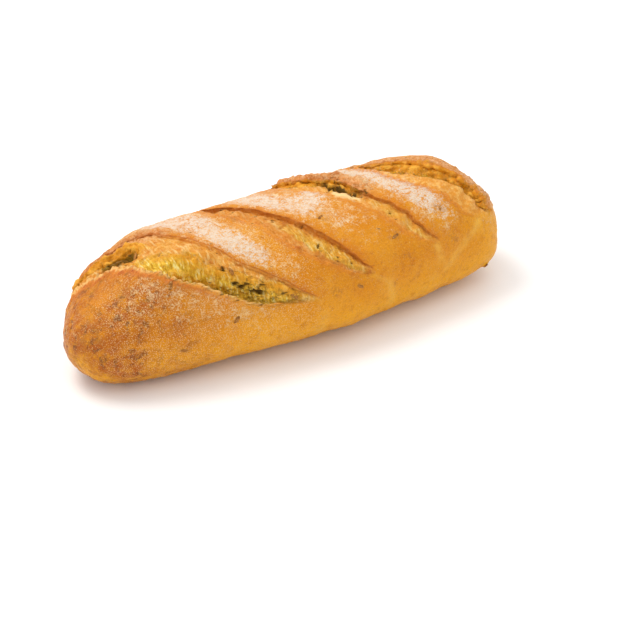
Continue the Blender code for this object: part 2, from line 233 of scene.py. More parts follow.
# Fine unevenness: the height and size of its features in mm, its seed, and how many layers of noise it has
Rough = namedtuple("Rough", "height size seed layers")
WRINKLES = (Rough(0.3, 8, 11, 4), Rough(0.16, 2.6, 12, 2))
TORN_CRUMB = (Rough(0.8, 4.5, 22, 4),)
BAKED_CRUMB = (Rough(0.5, 2, 25, 2),)
BAND_SKIN = (Rough(0.6, 2.6, 23, 3),)
RAGGED_LIPS = (Rough(1.2, 2.8, 24, 3), Rough(0.7, 6.5, 28, 2), Rough(0.7, 1.7, 29, 2))
SPOT_EDGES = (Rough(0.6, 1.8, 26, 2), Rough(0.4, 5, 27, 4))

# Small round pits: their depth and spacing in mm, their seed, and how full and how wide they are, as shares
# of the spacing
Pits = namedtuple("Pits", "depth spacing seed fullness radius")
CRUMB_PITS = Pits(1, 2.3, 32, 1, 0.6)
SKIN_PITS = Pits(0.9, 4.2, 33, 1, 0.33)
HOLES = Pits(1.7, 2.7, 34, 1.2, 0.42)

# Sizes in mm of the crumb's strands and lumps, and of what stands out of or lies in the crust
STRAND_WIDTH, STRAND_LENGTH, STRAND_HEIGHT, SKIN_STRAND_HEIGHT = 1.5, 9.0, 0.75, 0.35
BAKED_LUMP_SPACING, BAKED_LUMP_HEIGHT = 3.2, 1.3
LUMP_SPACING, LUMP_RISE = 5.0, 2.4
LIP_CREST, SEAM_DEPTH, CREASE_DEPTH = 1.3, 0.25, 0.35

# The pale stretch marks below the slashes' near tips, as (degrees, x in mm)
SEAMS = (
    ((83, -4), (96, -2), (112, -4)),
    ((76, 32), (86, 42), (96, 45), (108, 44)),
    ((73, 78), (88, 81), (101, 73), (116, 62)),
    ((66, 111), (74, 107), (89, 90), (101, 73)),
)
MM_PER_DEGREE = 0.85

# How much brighter the studio's lights are than they need be to show a colour as it is
LIGHT_EXCESS = 1.12

# The studio, in metres: its floor, its light from all round, and one soft light from behind on the left
FLOOR_HALF = 6.0
FLOOR_GREY, FLOOR_ROUGHNESS = 0.92, 0.9
WORLD_STRENGTH = 1.08
KEY_PLACE, KEY_AIM, KEY_SIZE, KEY_POWER = (-0.35, 0.45, 1.1), (0, 0, 0.03), 0.6, 7.0
KEY_COLOUR = (1.0, 0.98, 0.95)

# The camera: its direction in degrees, its distance and aim above the floor in metres, its focal length, the
# frame's width and the place of its aim in the frame in pixels, and its sensor's width
AZIMUTH, ELEVATION, DISTANCE, AIM_HEIGHT = -33.9, 30.0, 1.5, 0.035
FOCAL_PX, FRAME_PX, AIM_PX = 2670.0, 642.0, (282.4, 264.6)
SENSOR_MM = 36.0


def smooth(value):
    """0 below 0, 1 above 1 and an S curve between."""
    t = np.clip(value, 0, 1)
    return t * t * (3.0 - 2.0 * t)


def curve_through(points, at):
    """Reads a smooth curve that passes through (position, value) points and never overshoots them."""
    x, y = (np.array(column, float) for column in zip(*points))
    step = np.diff(x)
    rise = np.diff(y) / step
    before, after = rise[:-1], rise[1:]
    same_way = before * after > 0
    total = np.where(same_way, before + after, 1.0)
    slope = np.zeros(len(x))
    slope[1:-1] = np.where(same_way, 2.0 * before * after / total, 0.0)
    slope[0], slope[-1] = rise[0], rise[-1]
    k = np.clip(np.searchsorted(x, at) - 1, 0, len(step) - 1)
    t = np.clip((at - x[k]) / step[k], 0, 1)
    bend = slope[k] * (t - 2 * t**2 + t**3) + slope[k + 1] * (t**3 - t**2)
    return y[k] * (1 - smooth(t)) + y[k + 1] * smooth(t) + step[k] * bend


def columns(rows, angle):
    """Each column of (degrees, value, value...) rows as a smooth curve read at this angle."""
    return [curve_through([(row[0], row[k]) for row in rows], angle) for k in range(1, len(rows[0]))]


def waves(places, wavelength, seed):
    """Smooth unevenness of about -1 to 1 at places: waves in many directions."""
    draw = np.random.default_rng(seed)
    directions = draw.normal(size=(WAVES, places.shape[-1]))
    directions /= np.linalg.norm(directions, axis=1, keepdims=True)
    pace, offset = draw.uniform(0.7, 1.5, WAVES), draw.uniform(0, 1, WAVES)
    total = np.zeros(places.shape[:-1])
    for k in range(WAVES):
        total += np.sin(2 * math.pi * (places @ directions[k] * pace[k] / wavelength + offset[k]))
    return total / math.sqrt(WAVES)


def scattered(cells, seed):
    """Three random-looking numbers from 0 to 1 for each lattice cell."""
    n = (cells[..., :1] * 73856093) ^ (cells[..., 1:2] * 19349663) ^ (cells[..., 2:] * 83492791)
    n = n ^ ((seed + 7 * np.arange(3)) * 2654435)
    n = ((n ^ (n >> 13)) * 1274126177) & 0x7FFFFFFF
    return ((n ^ (n >> 16)) & 0xFFFF) / 65535.0


def lattice_noise(places, seed):
    """Smooth noise of about -1 to 1 that has one feature in each unit of length."""
    base = np.floor(places).astype(np.int64)
    inside = places - base
    blend = inside**3 * (inside * (inside * 6 - 15) + 10)
    total = np.zeros(places.shape[:-1])
    for corner in itertools.product((0, 1), repeat=3):
        slope = scattered(base + corner, seed) * 2 - 1
        weight = np.where(np.array(corner) == 1, blend, 1 - blend).prod(axis=-1)
        total += weight * (slope * (inside - corner)).sum(axis=-1)
    return total * 1.6


def noise(places, seed, layers=4):
    """Noise with finer and fainter layers on it."""
    total = np.zeros(places.shape[:-1])
    for layer in range(layers):
        total += 0.5**layer * lattice_noise(places * 2.03**layer + 17.3 * layer, seed + 31 * layer)
    return total


def cell_distance(places, seed):
    """The distance to the nearest of points that are scattered one to each unit cell."""
    base = np.floor(places).astype(np.int64)
    nearest = np.full(places.shape[:-1], np.inf)
    for corner in itertools.product((-1, 0, 1), repeat=3):
        point = base + corner + scattered(base + corner, seed)
        nearest = np.minimum(nearest, np.linalg.norm(point - places, axis=-1))
    return nearest


def roughness(mm, parts):
    """Adds up fine unevenness of several sizes, in mm."""
    return sum(part.height * noise(mm / part.size, part.seed, part.layers) for part in parts)


def pitting(mm, pits):
    """How deep small round pits of one kind are, in mm."""
    return pits.depth * smooth(pits.fullness - cell_distance(mm / pits.spacing, pits.seed) / pits.radius)


def closing(share, powers):
    """1 along the middle of the loaf, falling to 0 at its ends."""
    power = np.where(share < 0, powers[0], powers[1])
    return np.sqrt(np.clip(1.0 - np.abs(share) ** power, 0, None))


def body_point(x, angle):
    """The point of the loaf's plain body at x and this angle, without the slashes."""
    share = np.clip(x / (LENGTH / 2), -1, 1)
    sine, cosine = np.sin(np.radians(angle)), np.cos(np.radians(angle))
    near = curve_through(NEAR_HALF_WIDTH_MM, share) * closing(share, NEAR_POWERS)
    far = curve_through(FAR_HALF_WIDTH_MM, share) * closing(share, FAR_POWERS)
    across = np.where(sine > 0, near, -far) * MM * np.abs(sine) ** (2 / SECTION_POWER_TOP)
    crest = curve_through(CREST_HEIGHT_MM, share) * MM
    rise = (crest - MIDDLE_HEIGHT) * closing(share, CREST_POWERS)
    drop = (MIDDLE_HEIGHT + UNDERSIDE_TRIM) * closing(share, UNDERSIDE_POWERS)
    up = rise * np.abs(cosine) ** (2 / SECTION_POWER_TOP)
    down = drop * np.abs(cosine) ** (2 / SECTION_POWER_UNDERSIDE)
    y = SIDEWAYS_BOW * (1 - share**2) - across
    return np.stack([x, y, MIDDLE_HEIGHT + np.where(cosine > 0, up, -down)], axis=-1)


def unit(vectors):
    """The vectors at a length of 1."""
    return vectors / (np.linalg.norm(vectors, axis=-1, keepdims=True) + TINY)


def body_directions(x, angle):
    """The directions out of the plain body and along it towards +X, at x and this angle."""
    step_x, step_angle = 0.5 * MM, 0.5
    inner_x = np.clip(x, -LENGTH / 2 + 2 * step_x, LENGTH / 2 - 2 * step_x)
    along = body_point(inner_x + step_x, angle) - body_point(inner_x - step_x, angle)
    round_it = body_point(inner_x, angle + step_angle) - body_point(inner_x, angle - step_angle)
    return unit(np.cross(round_it, along)), unit(along)


def between_tips(slash, angle):
    """1 along a slash, falling to 0 at its two tips."""
    return smooth((angle - slash.far) / TIP_SOFTNESS) * smooth((slash.near - angle) / TIP_SOFTNESS)


def edge_line(slash, edge, under, torn, angle):
    """The x of an edge line of a slash. Past the slash's tips it swings back and passes the underside."""
    points = ((-180, under), (-130, under), *edge, (130, under), (180, under))
    seat = angle[..., None] + edge[0][1]
    ragged = waves(seat, RAGGED_DEGREES, seed=3) * RAGGED_WIDTH
    ragged += waves(seat, TORN_DEGREES, seed=4) * TORN_WIDTH * torn
    return curve_through(points, angle) * MM + ragged * between_tips(slash, angle)


def ring_lines(angle):
    """The x of the lines that rings follow: the left end, both edges of each slash and the right end."""
    lines = [np.full_like(angle, -LENGTH / 2)]
    for slash, look in zip(SLASHES, LOOKS):
        lines.append(edge_line(slash, slash.low_edge, slash.under[0], look.low_torn, angle))
        lines.append(edge_line(slash, slash.high_edge, slash.under[1], look.high_torn, angle))
    lines.append(np.full_like(angle, LENGTH / 2))
    return np.array(lines)


def stretch_sum(slash, field, angle):
    """Adds up one amount of a slash's stretches at this angle, fading out at the slash's tips."""
    total = np.zeros_like(angle)
    for stretch in slash.stretches:
        fade_in = smooth((angle - stretch.start) / stretch.soft)
        fade_out = smooth((stretch.end - angle) / stretch.soft)
        total += getattr(stretch, field) * fade_in * fade_out
    return total * between_tips(slash, angle) * MM


def behind_edge(distance):
    """The share of a lip's height that the crust has behind a slash's edge, which it rounds over towards."""
    distance = np.clip(distance, 0, None)
    rounded = 1 - (1 - EDGE_SHARE) * np.exp(-((distance / EDGE_ROUNDING) ** 2))
    return rounded * np.exp(-((distance / LIP_REACH) ** 2))


def split_drop(slash, v, angle):
    """The share of its depth that a split opening has at the share v across its slash: steep, then rising."""
    start, end = columns(slash.split, angle)
    across = np.clip((v - start) / np.maximum(end - start, TINY), 0, 1)
    return smooth(across / SPLIT_DROP) * (1 - across)


def slash_relief(slash, x, angle, low, high, crags):
    """How far a slash lifts the surface, and how far it shifts it along the loaf for an overhanging edge."""
    amount = {field: stretch_sum(slash, field, angle) for field in Stretch._fields[3:]}
    v = (x - low) / np.maximum(high - low, TINY)
    inside = (v >= 0) & (v < 1)
    v = np.clip(v, 0, 1)
    low_wall, high_wall = smooth(v / WALL_SHARE), smooth((1 - v) / WALL_SHARE)
    floor = amount["swell"] * 4 * v * (1 - v) + crags * between_tips(slash, angle) * np.sin(math.pi * v)
    floor -= amount["low_depth"] * (1 - v) ** slash.deep_powers[0]
    floor -= amount["high_depth"] * v ** slash.deep_powers[1]
    floor -= amount["split_depth"] * split_drop(slash, v, angle)
    lip = np.where(v < 0.5, amount["low_lip"] * (1 - low_wall), amount["high_lip"] * (1 - high_wall))
    band_lift = lip * EDGE_SHARE + floor * low_wall * high_wall
    under_edge = smooth((v - 1 + 2.4 * WALL_SHARE) / WALL_SHARE) * high_wall
    band_shift = amount["undercut"] * under_edge - amount["overhang"] * (1 - high_wall)
    crust_lift = amount["low_lip"] * behind_edge(low - x) * (x < low)
    crust_lift += amount["high_lip"] * behind_edge(x - high) * (x >= high)
    crust_shift = -amount["overhang"] * np.exp(-((x - high) / LIP_REACH) ** 2) * (x >= high)
    return np.where(inside, band_lift, crust_lift), np.where(inside, band_shift, crust_shift)


def surface_point(x, angle, lines):
    """The point of the slashed loaf: the plain body, uneven, with the slashes' relief on it."""
    base = body_point(x, angle)
    outward, along = body_directions(x, angle)
    lift = waves(base, LUMP_WAVELENGTH, seed=1) * LUMP_HEIGHT
    crags = waves(base, CRAG_WAVELENGTH, seed=2) * CRAG_HEIGHT
    shift = np.zeros_like(x)
    for index, slash in enumerate(SLASHES):
        low, high = lines[2 * index + 1], lines[2 * index + 2]
        slash_lift, slash_shift = slash_relief(slash, x, angle, low, high, crags)
        lift += slash_lift
        shift += slash_shift
    return base + outward * lift[..., None] + along * shift[..., None]


def ring_places():
    """The rings as (interval between lines, share of it). They crowd towards the slashes and the tips."""
    places = []
    for interval, count in enumerate(RINGS_ACROSS):
        t = np.arange(count) / count
        if interval == 0:
            share = 1 - np.cos(math.pi / 2 * t)
        elif interval == len(RINGS_ACROSS) - 1:
            share = np.sin(math.pi / 2 * t)
        else:
            share = t - CROWDING * np.sin(2 * math.pi * t) / (2 * math.pi)
        places += [(interval, value) for value in share]
    return places + [(len(RINGS_ACROSS) - 1, 1.0)]


def angles_round():
    """The angles of the places round the loaf. They lie closer together over the top."""
    turn = np.arange(FACES_ROUND) / FACES_ROUND - 0.5
    top_half = TOP_HALF_SHARE / 2
    underneath = np.sign(turn) * (90 + 90 * (np.abs(turn) - top_half) / (0.5 - top_half))
    return np.where(np.abs(turn) <= top_half, 90 * turn / top_half, underneath)


def grid_normals(points):
    """The outward directions of a grid of points, the rings of which run round the loaf."""
    along = np.gradient(points, axis=0)
    round_it = (np.roll(points, -1, axis=1) - np.roll(points, 1, axis=1)) / 2
    normal = unit(np.cross(round_it, along))
    for shift in (1, -1):
        normal = normal + 0.5 * np.roll(normal, shift, axis=1)
    return unit(normal)


def patch(value, start, end, soft):
    """1 between start and end, fading over soft outside them."""
    return smooth((value - start) / soft + 1) * smooth((end - value) / soft + 1)


def nearest_place(spot, x, angle):
    """The place in the grid that lies nearest to a spot."""
    gap = np.hypot(x / MM - spot.x, (angle - spot.angle) * MM_PER_DEGREE)
    return np.unravel_index(np.argmin(gap), gap.shape)


def spot_shape(spot, x, angle, mm, jag):
    """1 in the middle of a spot, falling to 0 at its ragged outline."""
    run = mm - mm[nearest_place(spot, x, angle)]
    gap = np.hypot(run[..., 0] / spot.along, np.hypot(run[..., 1], run[..., 2]) / spot.round)
    return smooth(1.4 - gap * jag)


def soft_patches(spots, x, angle):
    """Adds up soft round patches, each as strong as its height."""
    total = np.zeros_like(x)
    for spot in spots:
        along = (x / MM - spot.x) / spot.along
        round_it = (angle - spot.angle) * MM_PER_DEGREE / spot.round
        total += spot.height * np.exp(-(along**2 + round_it**2))
    return total


def line_gap(line, x, angle):
    """The distance in mm over the surface from a line of (degrees, x in mm) points."""
    places = np.stack([x / MM, angle * MM_PER_DEGREE], axis=-1)
    nearest = np.full(x.shape, 1e3)
    for (a0, x0), (a1, x1) in zip(line[:-1], line[1:]):
        start = np.array([x0, a0 * MM_PER_DEGREE])
        run = np.array([x1, a1 * MM_PER_DEGREE]) - start
        t = np.clip(((places - start) @ run) / (run @ run), 0, 1)
        nearest = np.minimum(nearest, np.linalg.norm(places - start - t[..., None] * run, axis=-1))
    return nearest


def strip_shape(strip, x, angle, jag):
    """1 along a strip's line, falling to 0 at its ragged sides."""
    return smooth(1.5 - line_gap(strip.line, x, angle) / strip.half_width * jag)


def slash_masks(index, x, angle, lines, uneven, fine):
    """Where each kind of surface, and its painted shade, lies in and beside one slash."""
    slash, look = SLASHES[index], LOOKS[index]
    low, high = lines[2 * index + 1], lines[2 * index + 2]
    v = (x - low) / np.maximum(high - low, TINY)
    tips = between_tips(slash, angle)
    inside = (v >= 0) & (v <= 1)
    from_high, from_low = (x - high) / MM, (low - x) / MM
    start, end = columns(slash.split, angle)
    t = (v - start) / np.maximum(end - start, TINY)
    opened = smooth(stretch_sum(slash, "split_depth", angle) / MM / 3.5) * inside
    split = patch(t + 0.06 * uneven + 0.04 * fine, 0.03, 0.97, 0.05) * opened
    torn_from, torn_to, strength = columns(TORN_PATCHES[index], angle)
    torn = patch(v + 0.10 * uneven + 0.07 * fine, torn_from, torn_to, 0.1) * strength * inside * tips
    crumb, band = np.maximum(split, torn), patch(v, 0.02, 0.98, 0.03) * tips
    baked = np.maximum(split * smooth((t + 0.2 * uneven - 0.25) / 0.3),
                       torn * smooth((v / np.maximum(torn_to, TINY) - 0.45) / 0.5) * 0.8)
    # The deepest part of each opening, which the material darkens as painted shade
    deep = np.maximum(opened * np.exp(-(((t - 0.2) / 0.14) ** 2)),
                      torn * np.exp(-((v / 0.3) ** 2)) * smooth((angle - 32) / 24) * 0.8)
    lip_width = 2.0
    # Where the crumb is pitted: real dents, which the material also darkens as painted shade
    if slash is TORN_END_SLASH:
        lip_width = 3.4
        pitted = 0.85 * torn * patch(v, 0.0, 0.65, 0.2) * patch(angle, 58, 90, 8)
    elif slash is CAPPED_END_SLASH:
        pitted = 0.85 * opened * patch(t + 0.2 * uneven, 0.1, 0.55, 0.15) * patch(angle, -4, 60, 12)
        torn_cap = patch(from_high, -1.0, 1.6 + 1.4 * uneven, 0.8) * patch(angle, -12, 56, 14)
        crumb, baked = np.maximum(crumb, torn_cap), np.maximum(baked, torn_cap)
    else:
        pitted = 0.8 * torn
    outer_rim = 0.7 * np.exp(-np.clip(from_high, 0, None) / 1.9) * (from_high >= 0)
    inner_rim = 0.4 * patch(-from_high, 0.0, 2.4, 2.0) * inside * (1 - split)
    # The crease just under the overhanging high edge, where the material paints a dark line of shade
    shaded_crease = patch(angle, look.crease_from, look.crease_to, 8) * look.crease * tips
    wander = from_low - 1.1 * uneven - 0.8 * fine
    lip = np.exp(-((np.clip(wander, 0, None) / lip_width) ** 2)) * (from_low >= 0)
    lip += np.exp(-np.clip(-from_low, 0, None) / 0.9) * (from_low < 0) * inside
    beside = np.where(v < 0.5, from_low, from_high)
    glow = np.exp(-np.clip(beside, 0, None) / 6.0) * (beside >= 0) * tips
    return {
        "crumb": crumb, "band": band, "baked": baked, "deep": deep, "pitted": pitted,
        "rim": np.clip(outer_rim + inner_rim, 0, 1) * tips,
        "crease": np.exp(-(((from_high + 0.2) / 0.6) ** 2)) * shaded_crease,
        "lip": lip * tips * look.lip,
        "glow": glow * (0.4 + 0.4 * look.below),
        "under_lip": np.exp(-(((from_low - 2.6) / 1.7) ** 2)) * tips * look.below,
        "relief": band * look.relief, "band_brown": band * look.brown, "band_flour": band * look.flour,
    }


def loaf_masks(x, angle, lines, mm):
    """Where each kind of surface, and its painted light and shade, lies on the loaf, from 0 to 1."""
    uneven, fine = noise(mm / 6.0, seed=41), noise(mm / 2.2, seed=42, layers=2)
    broad = noise(mm / 22.0, seed=43, layers=3)
    each = [slash_masks(index, x, angle, lines, uneven, fine) for index in range(len(SLASHES))]
    masks = {name: np.clip(np.max([one[name] for one in each], axis=0), 0, 1) for name in each[0]}
    band, lips = masks["band"], np.clip(masks["lip"] + masks["under_lip"], 0, 1)
    # The baked lumps' tops get a painted highlight, and the valleys between them get painted shade
    lump = cell_distance(mm / LUMP_SPACING, seed=35)
    masks["lump"] = np.clip(1 - lump / 0.9, 0, 1) * masks["baked"]
    masks["valley"] = smooth((lump + 0.25 * fine - 0.5) / 0.25) * masks["baked"]
    ear = patch(angle, -50, 4, 12) * patch((x - lines[6]) / MM, -0.5, 7, 6)
    cap = patch(angle, -60, 46, 16) * patch((x - lines[8]) / MM, -0.5, 14, 12)
    first_v = (x - lines[1]) / np.maximum(lines[2] - lines[1], TINY)
    first_ear = patch(angle, -70, -8, 10) * patch(first_v, 0.62, 1.15, 0.12)
    masks["toasted"] = np.clip(0.85 * ear + 0.85 * cap + 0.7 * first_ear, 0, 1) * (1 - masks["crumb"])
    brown = soft_patches(BROWN_BLOTCHES, x, angle) * (1.1 + 0.9 * uneven)
    brown += 0.8 * smooth((-50 - x / MM) / 60) * (0.9 + 0.9 * broad)
    masks["brown"] = np.clip(np.maximum(brown * (1 - band), masks.pop("band_brown")), 0, 1)
    flour = soft_patches(FLOUR_PATCHES, x, angle)
    flour = 1.05 * flour + 0.12 * patch(angle, -80, 40, 40) + 0.10 * broad + 0.12 * uneven * (flour > 0.1)
    flour = np.clip(flour, 0, 1) * (1 - band * (1 - masks.pop("band_flour")))
    masks["flour"] = flour * (1 - np.clip(masks["rim"] + lips + 0.7 * masks["toasted"], 0, 1) * 0.85)
    left_front = patch(x / MM, -112, -20, 28) * patch(angle, 20, 100, 30)
    speckle = np.clip(0.2 + 0.8 * left_front + 0.6 * flour, 0, 1)
    masks["speckle"] = speckle * (1 - np.clip(band + 0.8 * lips, 0, 1))
    seam_gap = np.min([line_gap(line, x, angle) for line in SEAMS], axis=0)
    seam = np.exp(-((seam_gap + 1.6 * uneven) / 2.6) ** 2)
    masks["seam"] = np.clip(seam * (0.55 + 0.9 * broad + 0.5 * uneven), 0, 1)
    # Painted light: the low sides paler as if lit by light bounced from the floor, the near right end as if
    # lit more
    lit_right_end = smooth((x / MM - 90) / 40) * patch(angle, 20, 120, 30)
    masks["painted_light"] = np.maximum(smooth((np.abs(angle) - 76) / 34), 0.9 * lit_right_end)
    jag = 1 + 0.7 * fine + 0.45 * uneven
    for name, spots in (("cavity", CAVITIES), ("nub", NUBS), ("fleck", FLECKS)):
        masks[name] = np.clip(sum(spot_shape(spot, x, angle, mm, jag) for spot in spots), 0, 1)
    masks["pale"] = np.zeros_like(x)
    for name, strips in (("cavity", HOLLOWS), ("pale", TONGUES)):
        for strip in strips:
            masks[name] = np.maximum(masks[name], strip.strength * strip_shape(strip, x, angle, jag))
    return masks


def fine_detail(x, angle, mm, masks):
    """How far wrinkles, pits, lumps, strands and spots stand off the loaf, in metres."""
    strands = np.stack([x / MM / STRAND_WIDTH, angle * MM_PER_DEGREE / STRAND_LENGTH,
                        mm[..., 2] / STRAND_LENGTH], axis=-1)
    threads = noise(strands, seed=21, layers=3)
    torn = STRAND_HEIGHT * threads + roughness(mm, TORN_CRUMB) - pitting(mm, CRUMB_PITS)
    lumps = 0.6 - cell_distance(mm / BAKED_LUMP_SPACING, seed=31)
    baked = BAKED_LUMP_HEIGHT * lumps + roughness(mm, BAKED_CRUMB)
    crumb = torn * (1 - masks["baked"]) + baked * masks["baked"] + LUMP_RISE * masks["lump"]
    skin = roughness(mm, BAND_SKIN) - pitting(mm, SKIN_PITS) + SKIN_STRAND_HEIGHT * threads
    height = roughness(mm, WRINKLES) * (1 + 0.9 * masks["brown"]) * (1 - 0.6 * masks["band"])
    height += skin * masks["relief"] * (1 - masks["crumb"]) + crumb * masks["crumb"]
    height += roughness(mm, RAGGED_LIPS) * np.clip(masks["lip"] + 0.85 * masks["toasted"], 0, 1)
    height += LIP_CREST * masks["lip"] ** 2 - SEAM_DEPTH * masks["seam"] - CREASE_DEPTH * masks["crease"]
    height -= pitting(mm, HOLES) * masks["pitted"]
    jag = 1 + roughness(mm, SPOT_EDGES)
    for spots, sign in ((CAVITIES, -1), (NUBS, 1), (FLECKS, 1)):
        for spot in spots:
            height += sign * spot.height * spot_shape(spot, x, angle, mm, jag)
    for strips, sign in ((HOLLOWS, -1), (TONGUES, 1)):
        for strip in strips:
            height += sign * strip.height * strip_shape(strip, x, angle, jag)
    return height * MM


def closed_rows(grid):
    """The rows of a grid for the mesh's points: the first and last rings become one point each."""
    between = grid[1:-1].reshape(-1, *grid.shape[2:])
    return np.concatenate([grid[0].mean(axis=0)[None], between, grid[-1].mean(axis=0)[None]])


def add_object(name, data):
    """A new object in the scene."""
    thing = bpy.data.objects.new(name, data)
    bpy.context.scene.collection.objects.link(thing)
    return thing


def make_loaf():
    """The loaf as one closed mesh, with its masks as attributes, and what the seeds and grains need."""
    interval, share = (np.array(column) for column in zip(*ring_places()))
    angle_row = angles_round()
    lines_row = ring_lines(angle_row)
    angle = np.broadcast_to(angle_row, (len(interval), FACES_ROUND)).copy()
    x = lines_row[interval] * (1 - share[:, None]) + lines_row[interval + 1] * share[:, None]
    lines = np.broadcast_to(lines_row[:, None, :], (len(lines_row), *x.shape))
    points = surface_point(x, angle, lines)
    middle = (points.min(axis=(0, 1)) + points.max(axis=(0, 1))) * (0.5, 0.5, 0.0)
    masks = loaf_masks(x, angle, lines, points / MM)
    normals = grid_normals(points)
    detail = fine_detail(x, angle, points / MM, masks)
    detail[0], detail[-1] = detail[0].mean(), detail[-1].mean()
    points = points + normals * detail[..., None]
    points[..., 2] = np.maximum(points[..., 2], 0.0)
    points -= middle
    rings, count = x.shape
    ring, place = np.meshgrid(np.arange(rings - 3), np.arange(count), indexing="ij")
    here = 1 + ring * count + place
    beside = 1 + ring * count + (place + 1) % count
    quads = np.stack([here, here + count, beside + count, beside], axis=-1).reshape(-1, 4)
    verts = closed_rows(points)
    last = len(verts) - 1
    start = last - count
    fans = [(0, 1 + k, 1 + (k + 1) % count) for k in range(count)]
    fans += [(last, start + (k + 1) % count, start + k) for k in range(count)]
    mesh = bpy.data.meshes.new("loaf_baked")
    mesh.from_pydata(verts.tolist(), [], quads.tolist() + fans)
    for name, values in masks.items():
        layer = mesh.attributes.new(name, "FLOAT", "POINT")
        layer.data.foreach_set("value", closed_rows(values).astype(np.float32))
    strands = np.stack([x / MM, angle * MM_PER_DEGREE, points[..., 2] / MM], axis=-1)
    layer = mesh.attributes.new("strands", "FLOAT_VECTOR", "POINT")
    layer.data.foreach_set("vector", closed_rows(strands).astype(np.float32).ravel())
    mesh.shade_smooth()
    grid = {"x": x, "angle": angle, "points": points, "normals": grid_normals(points), "masks": masks}
    return add_object("loaf_baked", mesh), middle, grid


def turned(outward, along, turn):
    """The directions along, across and out of a thing that lies on the surface, turned about the last."""
    flat = unit(along - outward * (along @ outward))
    side = np.cross(outward, flat)
    cosine, sine = math.cos(turn), math.sin(turn)
    return flat * cosine + side * sine, side * cosine - flat * sine, outward


def make_scattered(name, subdivisions, places):
    """One mesh of many small round things. Each place is its middle and its three half axes."""
    ball = bmesh.new()
    bmesh.ops.create_icosphere(ball, subdivisions=subdivisions, radius=1.0)
    corners = np.array([vertex.co for vertex in ball.verts])
    faces = np.array([[vertex.index for vertex in face.verts] for face in ball.faces])
    ball.free()
    verts = np.concatenate([middle + corners @ np.array(axes) for middle, axes in places])
    offsets = np.arange(len(places))[:, None, None] * len(corners)
    mesh = bpy.data.meshes.new(name)
    mesh.from_pydata(verts.tolist(), [], (faces[None] + offsets).reshape(-1, 3).tolist())
    mesh.shade_smooth()
    return add_object(name, mesh)


def make_seeds(grid):
    """The seeds that show in the crust, mostly sunk into it."""
    places = []
    for seed in SEEDS:
        place = nearest_place(seed, grid["x"], grid["angle"])
        out = grid["normals"][place]
        axes = turned(out, np.array([1.0, 0.0, 0.0]), math.radians(seed.turn))
        halves = np.array([seed.length, seed.width, SEED_THICKNESS_MM]) * MM / 2
        middle = grid["points"][place] + out * (seed.out * MM - halves[2])
        places.append((middle, np.array(axes) * halves[:, None]))
    return make_scattered("seeds", 3, places)


def make_grains(grid):
    """Fine grains of meal that stick to the crust, most of them along its foot and on the left front."""
    draw = np.random.default_rng(71)
    masks, angle, points = grid["masks"], grid["angle"], grid["points"]
    foot = patch(points[..., 2] / MM, 0.4, 7.0, 4.0)
    weight = 0.12 + 0.9 * masks["speckle"] + 2.4 * foot
    weight = weight * (1 - 0.8 * masks["band"]) * (1 - masks["cavity"]) * (points[..., 2] > 0.3 * MM)
    row = np.gradient(points, axis=0)
    column = (np.roll(points, -1, axis=1) - np.roll(points, 1, axis=1)) / 2
    weight = weight * np.linalg.norm(np.cross(row, column), axis=-1)
    chosen = draw.choice(weight.size, size=GRAINS, replace=False, p=weight.ravel() / weight.sum())
    radii = draw.uniform(*GRAIN_RADIUS_MM, size=GRAINS) * MM
    directions = draw.normal(size=(GRAINS, 3))
    squash = draw.uniform(0.55, 1.0, size=(GRAINS, 3))
    places = []
    for k, place in enumerate(chosen):
        ring, column = divmod(place, angle.shape[1])
        out = grid["normals"][ring, column]
        axes = turned(out, unit(directions[k]), 0.0)
        middle = points[ring, column] + out * radii[k] * GRAIN_RISE
        places.append((middle, np.array(axes) * squash[k][:, None] * radii[k]))
    return make_scattered("meal_grains", 1, places)


def tone(red, green, blue):
    """The linear colour of display values from 0 to 255."""
    shares = np.array([red, green, blue]) / 255
    linear = np.where(shares <= 0.04045, shares / 12.92, ((shares + 0.055) / 1.055) ** 2.4)
    return (*(linear / LIGHT_EXCESS).tolist(), 1.0)


